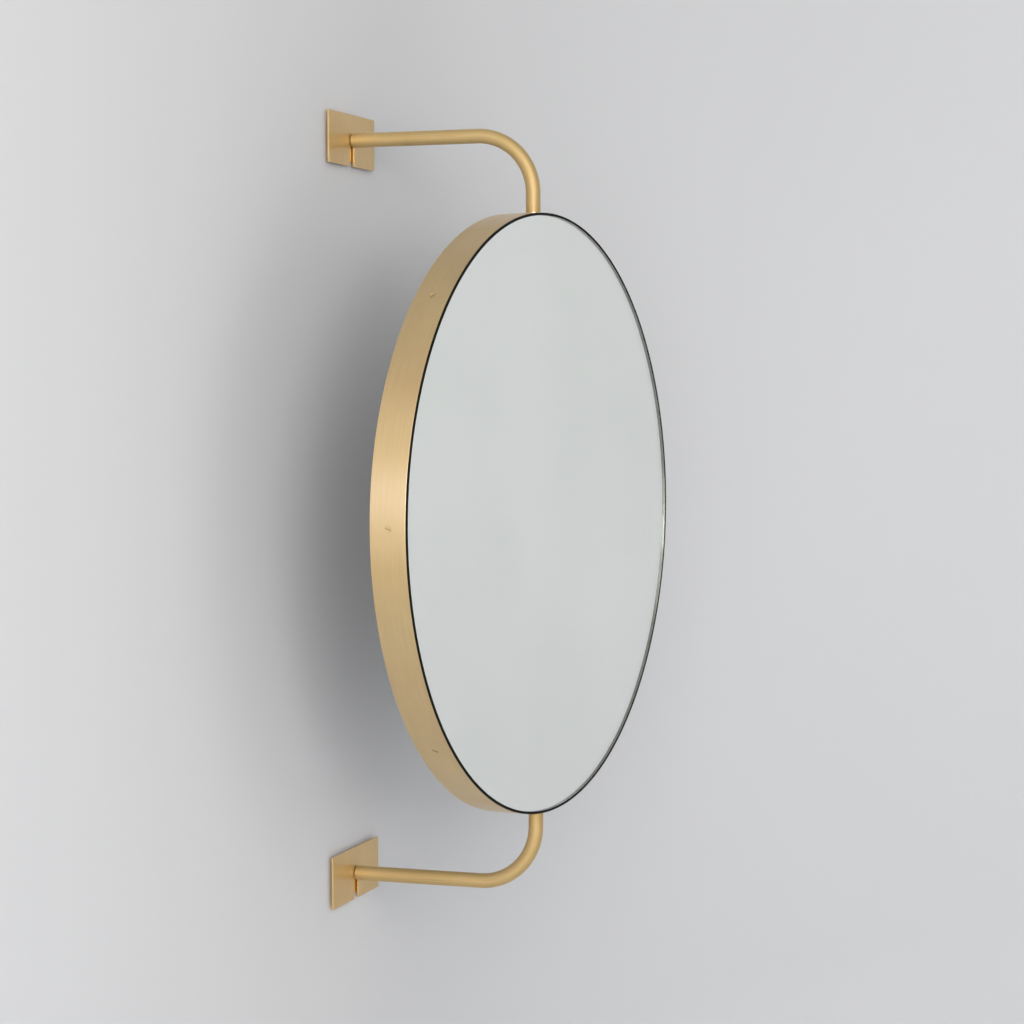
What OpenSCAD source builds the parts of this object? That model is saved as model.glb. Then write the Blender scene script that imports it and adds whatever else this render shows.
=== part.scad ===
// Round pivot mirror on two bent tube arms.
// Frame: origin on the wall, midway between the two wall plates. +Z is up, the
// wall is the plane Y = 0 and the mirror stands out towards -Y. +X runs along the wall.

/* [Mirror] */
// Outside diameter of the brass band
mirror_d = 610; // [500:5:700]
// Front-to-back depth of the band
band_depth = 39; // [38:1:48]
// Wall thickness of the band
band_wall = 2; // [1.5:0.5:3]
// Thickness of the mirror glass
glass_t = 5; // [4:1:6]
// Pivot axis behind the band's front edge
axis_setback = 18; // [18:0.5:20]
// How far the far edge is swung out from the wall, in degrees
mirror_turn = 7.7; // [-30:0.1:30]
// How far the mirror's centre hangs below the middle of the wall plates
mirror_drop = 2; // [0:0.5:3]

/* [Arms] */
// Outside diameter of the arm tube
arm_d = 15; // [14:0.5:20]
// Wall thickness of the arm tube
arm_wall = 1.5; // [1:0.25:2]
// Distance from the wall to the pivot axis
arm_reach = 205; // [150:5:260]
// Radius of the bend, on the tube's centre line
bend_r = 60; // [40:5:80]
// Straight tube between the band and the bend
arm_stub = 19; // [19:1:40]

/* [Wall brackets] */
// Width of the cover plate
cover_w = 125; // [120:1:150]
// Height of the cover plate
cover_h = 54; // [50:1:70]
// Thickness of the cover plate
cover_t = 2; // [1.5:0.5:3]
// How far the cover plate stands past the wall plate at its left and right ends
cover_overhang = 12; // [3:0.5:12]
// How far the cover plate stands past the wall plate above and below
cover_drop = 5; // [3:0.5:10]
// Thickness of the wall plate
wall_plate_t = 3.5; // [3:0.5:5]
// Distance between the two screw holes of one wall plate
screw_spacing = 80; // [70:5:80]
// Radius of the wall screw holes
screw_hole_r = 2.6; // [2.1:0.1:3]
// Diameter of the neck between the wall plate and the arm
neck_d = 10; // [8:0.5:11]

/* [Hidden] */

ROUND = 96;          // facets of a small round piece
RIM = 240;           // facets of the mirror's own rounds
EPS = 0.01;          // overrun of a cutter past the face that it cuts
FIT = 0.02;          // radial gap of a fixed pin or screw in its hole
HEAD_FIT = 0.08;     // the same round a countersunk head
RUNNING_FIT = 0.05;  // radial gap of the bush on its pin
TOP = 1;
BOTTOM = -1;

// Colours
brass = [0.80, 0.66, 0.42];
bronze = [0.70, 0.50, 0.28];
steel = [0.72, 0.73, 0.74];
silvered = [0.82, 0.84, 0.83];
black_rubber = [0.08, 0.08, 0.08];
foam_grey = [0.55, 0.55, 0.54];
board_brown = [0.62, 0.48, 0.33];
panel_black = [0.12, 0.12, 0.12];

// Band and glass. Depths are measured forwards from the pivot axis.
mirror_r = mirror_d / 2;
band_inner_r = mirror_r - band_wall;
band_rear = axis_setback - band_depth;
band_chamfer = 0.5;
seal_lip_t = 1.5;
seal_lip_outer_r = mirror_r - 0.1;
seal_lip_inner_r = band_inner_r - 0.4;
band_front = axis_setback - seal_lip_t;
glass_front = axis_setback - 0.3;
glass_back = glass_front - glass_t;
glass_r = seal_lip_inner_r - 0.05;
glass_arris = 0.25;
adhesive_t = 1.5;
strip_w = 30;
strip_pitch = 100;
strip_rim_gap = 35;
board_front = glass_back - adhesive_t;
board_rear = band_rear + 7.5;
board_r = band_inner_r - 0.4;
panel_t = 2;
panel_rear = board_rear - panel_t;
panel_r = band_inner_r - 1.5;

// Band screws: six at 45 degree steps, with the two pivots between them
band_screw_angles = [0, 45, 135, 180, 225, 315];
band_screw_tilts = [8, -14, -59, 16, 26, -30];
band_screw_depth = (axis_setback + band_rear) / 2;
band_screw_head_r = 3.4;
band_screw_head_t = 1.6;
band_screw_shank_r = 1.75;
band_screw_len = 30;
driver_slot_w = 0.8;
driver_slot_depth = 0.7;
head_set = 0.1;       // depth of a screw's face below the face round it

// Back panel screws
panel_screw_count = 8;
panel_screw_circle_r = panel_r - 16;
panel_screw_head_r = 3.2;
panel_screw_head_t = 1.5;
panel_screw_shank_r = 1.5;
panel_screw_len = 12;
panel_screw_tilt = 40;

// Pivot: heights are measured outwards from the mirror's centre
pin_r = 4;
washer_t = 0.9;
washer_gap = 0.3;
washer_start = mirror_r + washer_gap;
arm_end = washer_start + washer_t;
insert_len = 13.5;
pin_thread_len = 13;
bush_r = 6;
bush_bore_r = pin_r + RUNNING_FIT;
bush_flange_r = 8.5;
bush_flange_t = 1.2;
bush_end = mirror_r - 0.2;
block_top = mirror_r - band_wall - 0.8;
block_h = 28;
block_bottom = block_top - block_h;
block_w = 30;
block_front = board_front - 1;
block_rear_flange_t = 3;
ear_w = 62;
ear_top = block_top - 1.4;
block_screw_x = 23;
block_screw_head_r = 3.6;
block_screw_head_t = 1.8;
block_screw_shank_r = 2;
block_screw_len = 16;
flange_start = block_bottom - bush_flange_t;
spring_gap = 0.3;
spring_h = 1.9;
spring_t = 0.9;
spring_r = 8;
spring_start = flange_start - spring_gap - spring_h;
nut_h = 5;
nut_collar_h = 1.7;
nut_across_flats = 13;
nut_collar_r = 5.6;
nut_start = spring_start - 0.1 - nut_h;
pin_start = nut_start - nut_collar_h - 1.6;
pin_end = arm_end + pin_thread_len;
pin_chamfer = 0.6;
board_notch_bottom = pin_start - 7;
notch_gap = 0.4;

// Arms and wall brackets. Heights are measured outwards from the wall plates' middle.
arm_r = arm_d / 2;
arm_bore_r = arm_r - arm_wall;
arm_height = mirror_r + arm_stub + bend_r;
arm_edge = 0.4;
cover_stand_off = 0.7;
cover_back = wall_plate_t + cover_stand_off;
cover_front = cover_back + cover_t;
arm_start = cover_front + 1;
spigot_len = 30;
spigot_r = arm_bore_r - RUNNING_FIT;
neck_r = neck_d / 2;
tenon_r = neck_r - 1;
slot_r = neck_r + 0.5;
wall_plate_w = cover_w - 2 * cover_overhang;
wall_plate_h = cover_h - 2 * cover_drop;
countersink_r = screw_hole_r + 2.2;
countersink_t = 2;
grub_r = 2;
grub_len = 2.7;
grub_reach = arm_start + 15;
grub_key = 2;

// The mirror's own frame: x to the far side, y up, z forwards, turned about the pivot axis
module mirror_place() {
    translate([0, -arm_reach, -mirror_drop])
        rotate([90, 0, -mirror_turn])
            children();
}

// The pivot axis on the fixed side: z outwards from the mirror's centre
module pivot_place(side) {
    translate([0, -arm_reach, -mirror_drop])
        mirror([0, 0, side == BOTTOM ? 1 : 0])
            children();
}

// A wall bracket: z up, y from the wall, at the height of its arm
module bracket_place(side) {
    translate([0, 0, side * arm_height])
        children();
}

// A row of profile points [radius, height] turned into a ring or a disc
module turned(points, facets = ROUND) {
    rotate_extrude($fn = facets)
        polygon(points);
}

// A countersunk screw along +z, set just below the face at z = 0, with a driver slot
module slotted_screw(head_r, head_t, shank_r, length, tilt) {
    difference() {
        turned([
            [0, head_set],
            [head_r - head_set, head_set],
            [shank_r, head_t],
            [shank_r, length - shank_r],
            [0, length]
        ]);
        rotate([0, 0, tilt])
            translate([-head_r, -driver_slot_w / 2, 0])
                cube([2 * head_r, driver_slot_w, head_set + driver_slot_depth]);
    }
}

// The hole that the same screw sits in
module screw_hole(head_r, head_t, shank_r, length) {
    turned([
        [0, -head_t],
        [head_r + HEAD_FIT + head_t, -head_t],
        [head_r + HEAD_FIT, 0],
        [shank_r + FIT, head_t + HEAD_FIT],
        [shank_r + FIT, length + FIT],
        [0, length + FIT]
    ]);
}

// Puts a screw or its hole on the band at an angle, pointing at the mirror's centre
module on_band(angle) {
    rotate([0, 0, angle])
        translate([mirror_r - EPS, 0, band_screw_depth])
            rotate([0, -90, 0])
                children();
}

// Wall plate: countersunk for two screws, with a hole for the spigot's tenon
module wall_plate(side) {
    color(brass)
        bracket_place(side)
            rotate([90, 0, 0])
                difference() {
                    translate([-wall_plate_w / 2, -wall_plate_h / 2, 0])
                        cube([wall_plate_w, wall_plate_h, wall_plate_t]);
                    translate([0, 0, -EPS])
                        cylinder(r = tenon_r + FIT, h = wall_plate_t + 2 * EPS, $fn = ROUND);
                    for (x = [-screw_spacing / 2, screw_spacing / 2])
                        translate([x, 0, 0])
                            wall_screw_hole();
                }
}

module wall_screw_hole() {
    translate([0, 0, -EPS])
        cylinder(r = screw_hole_r, h = wall_plate_t + 2 * EPS, $fn = ROUND);
    translate([0, 0, wall_plate_t - countersink_t])
        cylinder(r1 = screw_hole_r, r2 = countersink_r, h = countersink_t + EPS, $fn = ROUND);
}

// Spigot: tenon in the wall plate, neck for the cover plate, body inside the tube
module wall_spigot(side) {
    color(brass)
        bracket_place(side)
            difference() {
                rotate([90, 0, 0])
                    turned([
                        [0, 0],
                        [tenon_r, 0],
                        [tenon_r, wall_plate_t],
                        [neck_r, wall_plate_t],
                        [neck_r, arm_start],
                        [spigot_r, arm_start],
                        [spigot_r, arm_start + spigot_len - 1],
                        [spigot_r - 1, arm_start + spigot_len],
                        [0, arm_start + spigot_len]
                    ]);
                translate([arm_r - grub_len - 0.25, -grub_reach, 0])
                    rotate([0, 90, 0])
                        cylinder(r = grub_r + FIT, h = arm_r, $fn = ROUND);
            }
}

// The straight tube that leaves the wall, with a small chamfer at its wall end
module wall_leg(length) {
    rotate([90, 0, 0])
        turned([
            [arm_bore_r, arm_start],
            [arm_r - arm_edge, arm_start],
            [arm_r, arm_start + arm_edge],
            [arm_r, arm_start + length],
            [arm_bore_r, arm_start + length]
        ]);
}

module tube_section() {
    difference() {
        circle(r = arm_r, $fn = ROUND);
        circle(r = arm_bore_r, $fn = ROUND);
    }
}

// Arm: straight out from the wall, a quarter bend, then straight to the band
module arm(side) {
    leg_end = arm_reach - bend_r;
    pivot_end = arm_end - side * mirror_drop;
    color(brass)
        mirror([0, 0, side == BOTTOM ? 1 : 0])
            difference() {
                union() {
                    translate([0, 0, arm_height])
                        wall_leg(leg_end - arm_start);
                    translate([0, -leg_end, arm_height - bend_r])
                        rotate([0, -90, 180])
                            rotate_extrude(angle = 90, $fn = ROUND)
                                translate([bend_r, 0])
                                    tube_section();
                    translate([0, -arm_reach, pivot_end])
                        linear_extrude(height = arm_height - bend_r - pivot_end)
                            tube_section();
                }
                translate([0, -grub_reach, arm_height])
                    rotate([0, 90, 0])
                        cylinder(r = grub_r + FIT, h = arm_r + 1, $fn = ROUND);
            }
}

// Grub screw that locks the arm on its spigot, on the arm's far side
module grub_screw(side) {
    color(steel)
        bracket_place(side)
            translate([arm_r - grub_len - 0.2, -grub_reach, 0])
                rotate([0, 90, 0])
                    difference() {
                        cylinder(r = grub_r, h = grub_len, $fn = ROUND);
                        translate([0, 0, grub_len - 1.5])
                            cylinder(r = grub_key / 2 / cos(30), h = 1.5 + EPS, $fn = 6);
                    }
}

// Threaded plug in the arm's mirror end
module pivot_insert(side) {
    color(brass)
        pivot_place(side)
            translate([0, 0, arm_end])
                difference() {
                    cylinder(r = arm_bore_r - FIT, h = insert_len, $fn = ROUND);
                    translate([0, 0, -EPS])
                        cylinder(r = pin_r + FIT, h = pin_thread_len + 0.2, $fn = ROUND);
                }
}

// Pin that the mirror turns on
module pivot_pin(side) {
    color(steel)
        pivot_place(side)
            turned([
                [0, pin_start],
                [pin_r - pin_chamfer, pin_start],
                [pin_r, pin_start + pin_chamfer],
                [pin_r, pin_end - pin_chamfer],
                [pin_r - pin_chamfer, pin_end],
                [0, pin_end]
            ]);
}

// Thin washer between the arm's end and the band
module thrust_washer(side) {
    color(brass)
        pivot_place(side)
            turned([
                [pin_r + FIT, washer_start],
                [arm_r - 0.2, washer_start],
                [arm_r - 0.2, arm_end],
                [pin_r + FIT, arm_end]
            ]);
}

// Coned spring washer: its friction keeps the mirror at its angle
module disc_spring(side) {
    color(steel)
        pivot_place(side)
            turned([
                [pin_r + FIT, spring_start + spring_h - spring_t],
                [spring_r, spring_start],
                [spring_r, spring_start + spring_t],
                [pin_r + FIT, spring_start + spring_h]
            ]);
}

// Lock nut with its round insert collar towards the mirror's centre
module lock_nut(side) {
    color(steel)
        pivot_place(side)
            difference() {
                union() {
                    translate([0, 0, nut_start])
                        cylinder(r = nut_across_flats / 2 / cos(30), h = nut_h, $fn = 6);
                    translate([0, 0, nut_start - nut_collar_h])
                        cylinder(r = nut_collar_r, h = nut_collar_h + EPS, $fn = ROUND);
                }
                translate([0, 0, nut_start - nut_collar_h - EPS])
                    cylinder(r = pin_r + FIT, h = nut_h + nut_collar_h + 2 * EPS, $fn = ROUND);
            }
}

// Cover plate: its slot lets it slide up and off the neck
module cover_plate(side) {
    color(brass)
        bracket_place(side)
            translate([0, -cover_back, 0])
                rotate([90, 0, 0])
                    linear_extrude(height = cover_t)
                        difference() {
                            square([cover_w, cover_h], center = true);
                            circle(r = slot_r, $fn = ROUND);
                            translate([-slot_r, -cover_h / 2 - EPS])
                                square([2 * slot_r, cover_h / 2 + EPS]);
                        }
}

// Brass band: drilled for its screws and for the two bushes
module frame_band() {
    color(brass)
        mirror_place()
            difference() {
                turned([
                    [band_inner_r, band_rear],
                    [mirror_r - band_chamfer, band_rear],
                    [mirror_r, band_rear + band_chamfer],
                    [mirror_r, band_front - band_chamfer],
                    [mirror_r - band_chamfer, band_front],
                    [band_inner_r, band_front]
                ], RIM);
                for (angle = band_screw_angles)
                    on_band(angle)
                        screw_hole(band_screw_head_r, band_screw_head_t, band_screw_shank_r, 8);
                rotate([90, 0, 0])
                    cylinder(r = bush_r + 2 * FIT, h = 2 * mirror_r + 2, center = true, $fn = ROUND);
            }
}

module band_screws() {
    color(brass)
        mirror_place()
            for (i = [0 : len(band_screw_angles) - 1])
                on_band(band_screw_angles[i])
                    slotted_screw(band_screw_head_r, band_screw_head_t, band_screw_shank_r,
                                  band_screw_len, band_screw_tilts[i]);
}

// Glass with a fine arris round its front edge
module mirror_glass() {
    color(silvered)
        mirror_place()
            turned([
                [0, glass_back],
                [glass_r, glass_back],
                [glass_r, glass_front - glass_arris],
                [glass_r - glass_arris, glass_front],
                [0, glass_front]
            ], RIM);
}

// Black seal: a leg between the glass and the band, and a lip over the band's front edge
module edge_seal() {
    color(black_rubber)
        mirror_place()
            turned([
                [seal_lip_inner_r, board_front + FIT],
                [band_inner_r - FIT, board_front + FIT],
                [band_inner_r - FIT, band_front + FIT],
                [seal_lip_outer_r - 0.2, band_front + FIT],
                [seal_lip_outer_r, band_front + 0.2],
                [seal_lip_outer_r - 0.2, axis_setback],
                [seal_lip_inner_r, axis_setback]
            ], RIM);
}

// Foam strips that hold the glass on the board
module glass_adhesive() {
    reach = board_r - strip_rim_gap;
    rows = floor(reach / strip_pitch);
    color(foam_grey)
        mirror_place()
            for (row = [-rows : rows]) {
                half = sqrt(reach * reach - pow(abs(row) * strip_pitch + strip_w / 2, 2));
                if (half > strip_w)
                    translate([row * strip_pitch - strip_w / 2, -half, board_front])
                        cube([strip_w, 2 * half, adhesive_t]);
            }
}

// Backing board: notched for the pivots, pocketed for the blocks' ears
module backing_board() {
    color(board_brown)
        mirror_place()
            difference() {
                translate([0, 0, board_rear])
                    cylinder(r = board_r, h = board_front - board_rear, $fn = RIM);
                for (turn = [0, 180])
                    rotate([0, 0, turn])
                        pivot_recess();
                for (angle = band_screw_angles)
                    on_band(angle)
                        cylinder(r = band_screw_shank_r + FIT, h = band_screw_len + 1, $fn = ROUND);
                for (i = [0 : panel_screw_count - 1])
                    rotate([0, 0, (i + 0.5) * 360 / panel_screw_count])
                        translate([panel_screw_circle_r, 0, board_rear - EPS])
                            cylinder(r = panel_screw_shank_r + FIT, h = panel_screw_len, $fn = ROUND);
            }
}

module pivot_recess() {
    half = block_w / 2 + notch_gap;
    ear_half = ear_w / 2 + notch_gap;
    translate([-half, board_notch_bottom, board_rear - EPS])
        cube([2 * half, mirror_r - board_notch_bottom, board_front - board_rear + 2 * EPS]);
    translate([-ear_half, block_bottom - notch_gap, board_rear - EPS])
        cube([2 * ear_half, mirror_r - block_bottom, block_rear_flange_t + 0.1 + EPS]);
    for (x = [-block_screw_x, block_screw_x])
        translate([x, block_bottom + block_h / 2, board_rear])
            cylinder(r = block_screw_shank_r + FIT, h = block_screw_len + 0.5, $fn = ROUND);
}

module back_panel() {
    color(panel_black)
        mirror_place()
            difference() {
                translate([0, 0, panel_rear])
                    cylinder(r = panel_r, h = panel_t, $fn = RIM);
                for (i = [0 : panel_screw_count - 1])
                    rotate([0, 0, (i + 0.5) * 360 / panel_screw_count])
                        translate([panel_screw_circle_r, 0, panel_rear])
                            screw_hole(panel_screw_head_r, panel_screw_head_t, panel_screw_shank_r,
                                       panel_t + 1);
            }
}

module back_panel_screws() {
    color(brass)
        mirror_place()
            for (i = [0 : panel_screw_count - 1])
                rotate([0, 0, (i + 0.5) * 360 / panel_screw_count])
                    translate([panel_screw_circle_r, 0, panel_rear])
                        slotted_screw(panel_screw_head_r, panel_screw_head_t, panel_screw_shank_r,
                                      panel_screw_len, panel_screw_tilt * i);
}

// Block let into the board: its ears take two screws, its bore takes the bush
module pivot_block(side) {
    color(brass)
        mirror_place()
            mirror([0, side == BOTTOM ? 1 : 0, 0])
                difference() {
                    union() {
                        translate([-block_w / 2, block_bottom, board_rear])
                            cube([block_w, block_h, block_front - board_rear]);
                        translate([-ear_w / 2, block_bottom, board_rear])
                            cube([ear_w, ear_top - block_bottom, block_rear_flange_t]);
                    }
                    translate([0, block_bottom - EPS, 0])
                        rotate([-90, 0, 0])
                            cylinder(r = bush_r + FIT, h = block_h + 2 * EPS, $fn = ROUND);
                    for (x = [-block_screw_x, block_screw_x])
                        translate([x, block_bottom + block_h / 2, board_rear])
                            screw_hole(block_screw_head_r, block_screw_head_t, block_screw_shank_r,
                                       block_rear_flange_t + 1);
                }
}

module block_screws(side) {
    color(steel)
        mirror_place()
            mirror([0, side == BOTTOM ? 1 : 0, 0])
                for (x = [-block_screw_x, block_screw_x])
                    translate([x, block_bottom + block_h / 2, board_rear])
                        slotted_screw(block_screw_head_r, block_screw_head_t, block_screw_shank_r,
                                      block_screw_len, x);
}

// Flanged bush: flange under the block, top just below the band's outer face
module bush(side) {
    color(bronze)
        mirror_place()
            rotate([-90, 0, side == BOTTOM ? 180 : 0])
                turned([
                    [bush_bore_r, flange_start],
                    [bush_flange_r, flange_start],
                    [bush_flange_r, block_bottom - FIT],
                    [bush_r, block_bottom - FIT],
                    [bush_r, bush_end],
                    [bush_bore_r, bush_end]
                ]);
}

wall_plate(TOP);  // top_wall_plate
wall_spigot(TOP);  // top_wall_spigot
arm(TOP);  // top_arm
grub_screw(TOP);  // top_grub_screw
pivot_insert(TOP);  // top_pivot_insert
pivot_pin(TOP);  // top_pivot_pin
thrust_washer(TOP);  // top_thrust_washer
disc_spring(TOP);  // top_disc_spring
lock_nut(TOP);  // top_lock_nut
cover_plate(TOP);  // top_cover_plate
wall_plate(BOTTOM);  // bottom_wall_plate
wall_spigot(BOTTOM);  // bottom_wall_spigot
arm(BOTTOM);  // bottom_arm
grub_screw(BOTTOM);  // bottom_grub_screw
pivot_insert(BOTTOM);  // bottom_pivot_insert
pivot_pin(BOTTOM);  // bottom_pivot_pin
thrust_washer(BOTTOM);  // bottom_thrust_washer
disc_spring(BOTTOM);  // bottom_disc_spring
lock_nut(BOTTOM);  // bottom_lock_nut
cover_plate(BOTTOM);  // bottom_cover_plate
frame_band();
band_screws();
mirror_glass();
edge_seal();
glass_adhesive();
backing_board();
back_panel();
back_panel_screws();
pivot_block(TOP);  // top_pivot_block
block_screws(TOP);  // top_block_screws
bush(TOP);  // top_bush
pivot_block(BOTTOM);  // bottom_pivot_block
block_screws(BOTTOM);  // bottom_block_screws
bush(BOTTOM);  // bottom_bush
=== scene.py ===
"""Looks of a round pivot mirror on two bent brass arms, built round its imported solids."""

import logging
import math
from dataclasses import dataclass, replace
from enum import Enum
from typing import Any, Sequence

import bmesh
import bpy
import numpy as np
from mathutils import Matrix, Vector


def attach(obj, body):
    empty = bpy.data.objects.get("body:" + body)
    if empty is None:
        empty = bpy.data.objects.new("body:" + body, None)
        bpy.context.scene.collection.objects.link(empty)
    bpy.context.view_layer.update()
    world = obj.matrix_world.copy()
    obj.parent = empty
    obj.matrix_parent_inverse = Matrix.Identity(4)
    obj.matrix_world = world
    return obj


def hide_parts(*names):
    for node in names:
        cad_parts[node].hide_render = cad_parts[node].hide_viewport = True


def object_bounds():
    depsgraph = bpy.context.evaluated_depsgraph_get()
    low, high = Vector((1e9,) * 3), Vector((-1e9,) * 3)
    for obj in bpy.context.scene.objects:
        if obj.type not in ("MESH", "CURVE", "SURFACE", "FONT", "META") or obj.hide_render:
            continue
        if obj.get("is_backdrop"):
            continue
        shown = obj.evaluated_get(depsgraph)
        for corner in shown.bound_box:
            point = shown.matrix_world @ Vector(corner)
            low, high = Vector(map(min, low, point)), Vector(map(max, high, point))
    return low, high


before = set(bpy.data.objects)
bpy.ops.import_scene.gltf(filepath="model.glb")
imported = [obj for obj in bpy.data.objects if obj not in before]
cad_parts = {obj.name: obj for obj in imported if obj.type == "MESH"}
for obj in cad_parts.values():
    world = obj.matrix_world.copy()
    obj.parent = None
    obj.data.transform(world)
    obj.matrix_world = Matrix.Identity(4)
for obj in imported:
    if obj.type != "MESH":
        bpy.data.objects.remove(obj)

logging.basicConfig(level=logging.INFO, format="%(message)s")
LOG = logging.getLogger("mirror")

MM = 0.001  # drawing sizes are millimetres, Blender's are metres
MERGE = 1e-6  # metres: points nearer than this are one point
ROUNDING = 1e-9  # mm: less than this is no distance at all
CREASE = math.radians(32)  # edges that turn more than this stay sharp
SUPPORT = 0.12  # mm from a rounded edge to the line that keeps the flat beside it flat
ARC_STEPS = 5  # faces round each rounded corner
RING_STEPS = 5  # rings of points from beside a hole's rim out to the window round it

Array = np.ndarray
Tree = bpy.types.NodeTree
Socket = bpy.types.NodeSocket
Pair = tuple[float, float]
Triple = tuple[float, float, float]
Colour = tuple[float, float, float, float]
HoleWall = tuple[Pair, ...]


class End(Enum):
    """Which arm, bracket and pivot: the value is the sign of its height."""

    TOP = 1
    BOTTOM = -1

    @property
    def word(self) -> str:
        """The word that begins this end's node names."""
        return self.name.lower()


# ---------------------------------------------------------------- shapes


def rounded(corners: Sequence[Triple], closed: bool = True) -> Array:
    """Rounds the corners of a flat outline.

    Each corner gives way to an arc of its radius, which touches both sides at
    radius / tan(half the corner's angle) from it. A support point stands just
    outside each end of the arc.

    Args:
        corners: x, y and radius of each corner in order. Radius 0 keeps it sharp.
        closed: whether the last corner joins the first one.

    Returns:
        The outline's points. A closed outline repeats its first point at the end.
    """
    given = np.array(corners, float)
    count = len(given)
    parts: list[Array] = []
    for i, (x, y, radius) in enumerate(given):
        here = np.array([x, y])
        if radius == 0 or (not closed and i in (0, count - 1)):
            parts.append(here[None])
            continue
        before = given[i - 1, :2] - here
        after = given[(i + 1) % count, :2] - here
        before /= np.linalg.norm(before)
        after /= np.linalg.norm(after)
        half = math.acos(float(np.clip(before @ after, -1, 1))) / 2
        reach = radius / math.tan(half)
        centre = here + (before + after) / np.linalg.norm(before + after) * radius / math.sin(half)
        start = here + before * reach - centre
        end = here + after * reach - centre
        sweep = math.pi - 2 * half
        share = np.linspace(0, 1, ARC_STEPS + 1)[:, None]
        arc = (start * np.sin((1 - share) * sweep) + end * np.sin(share * sweep)) / math.sin(sweep)
        parts += [
            (here + before * (reach + SUPPORT))[None],
            centre + arc,
            (here + after * (reach + SUPPORT))[None],
        ]
    if closed:
        parts.append(parts[0][:1])
    return np.concatenate(parts)


def edge_profile(thickness: float, radius: float) -> Array:
    """The edge of a sheet, from its outer skin round to its inner one.

    A quarter circle, a straight side and a second quarter circle.

    Args:
        thickness: of the sheet.
        radius: of both rounded edges.

    Returns:
        Rows of how far out past the skin's end, and how deep below the outer skin.
    """
    corners = [(0, 0, 0), (radius, 0, radius), (radius, thickness, radius), (0, thickness, 0)]
    line = rounded(corners, closed=False)
    return line[np.all(line >= -ROUNDING, axis=1)]


def run_length(points: Array) -> Array:
    """The distance along a line of points, from its first one."""
    steps = np.linalg.norm(np.diff(points, axis=0), axis=1)
    return np.concatenate([[0.0], np.cumsum(steps)])


def grid_lines(low: float, high: float, inner: Array) -> Array:
    """Grid lines from low to high: both ends, a support line beside each, and the inner ones."""
    return np.concatenate([[low, low + SUPPORT], inner, [high - SUPPORT, high]])


def frame_of(a: Array, b: Array) -> tuple[Array, Array]:
    """Walks once round the outermost lines of a grid, and ends where it began.

    Args:
        a: the grid's lines across the first coordinate.
        b: its lines across the second one.

    Returns:
        Both coordinates of every crossing on the way: up a at the first b, up b at the
        last a, down a at the last b and down b at the first a.
    """
    wide, high = len(a) - 1, len(b) - 1
    return (
        np.concatenate([a[:-1], np.full(high, a[-1]), a[:0:-1], np.full(high + 1, a[0])]),
        np.concatenate([np.full(wide, b[0]), b[:-1], np.full(wide, b[-1]), b[::-1]]),
    )


def show(name: str, data: bpy.types.ID) -> bpy.types.Object:
    """Makes an object of a mesh, a lamp or a camera, and links it to the scene."""
    made = bpy.data.objects.new(name, data)
    bpy.context.scene.collection.objects.link(made)
    return made


def quads(rows: int, columns: int) -> Array:
    """The four corner numbers of every face in a grid of points."""
    index = np.arange(rows * columns).reshape(rows, columns)
    return np.stack([index[:-1, :-1], index[1:, :-1], index[1:, 1:], index[:-1, 1:]], -1)


@dataclass(frozen=True)
class Placement:
    """A turn and a shift, in millimetres, from a part's own frame to the shared one."""

    turn: tuple[Triple, ...] = ((1, 0, 0), (0, 1, 0), (0, 0, 1))
    shift: Triple = (0, 0, 0)

    def apply(self, points: Array) -> Array:
        """The points in the shared frame: turn times point, plus shift."""
        return points @ np.array(self.turn, float).T + np.array(self.shift, float)

    def then(self, outer: "Placement") -> "Placement":
        """Joins this placement to another one.

        Args:
            outer: the placement that comes after this one.

        Returns:
            Both as one: the product of the turns, and this shift placed by the outer one.
        """
        a, b = np.array(self.turn, float), np.array(outer.turn, float)
        shift = outer.apply(np.array([self.shift], float))[0]
        return Placement(tuple(map(tuple, b @ a)), tuple(shift))


def axis_turn(axis: str, degrees: float) -> tuple[Triple, ...]:
    """The rows of a rotation about a named axis."""
    return tuple(map(tuple, np.array(Matrix.Rotation(math.radians(degrees), 3, axis))))


def flipped(end: End, shift: Triple = (0, 0, 0)) -> Placement:
    """A placement that turns the bottom end's shapes upside down."""
    return Placement(((1, 0, 0), (0, 1, 0), (0, 0, end.value)), shift)


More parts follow.
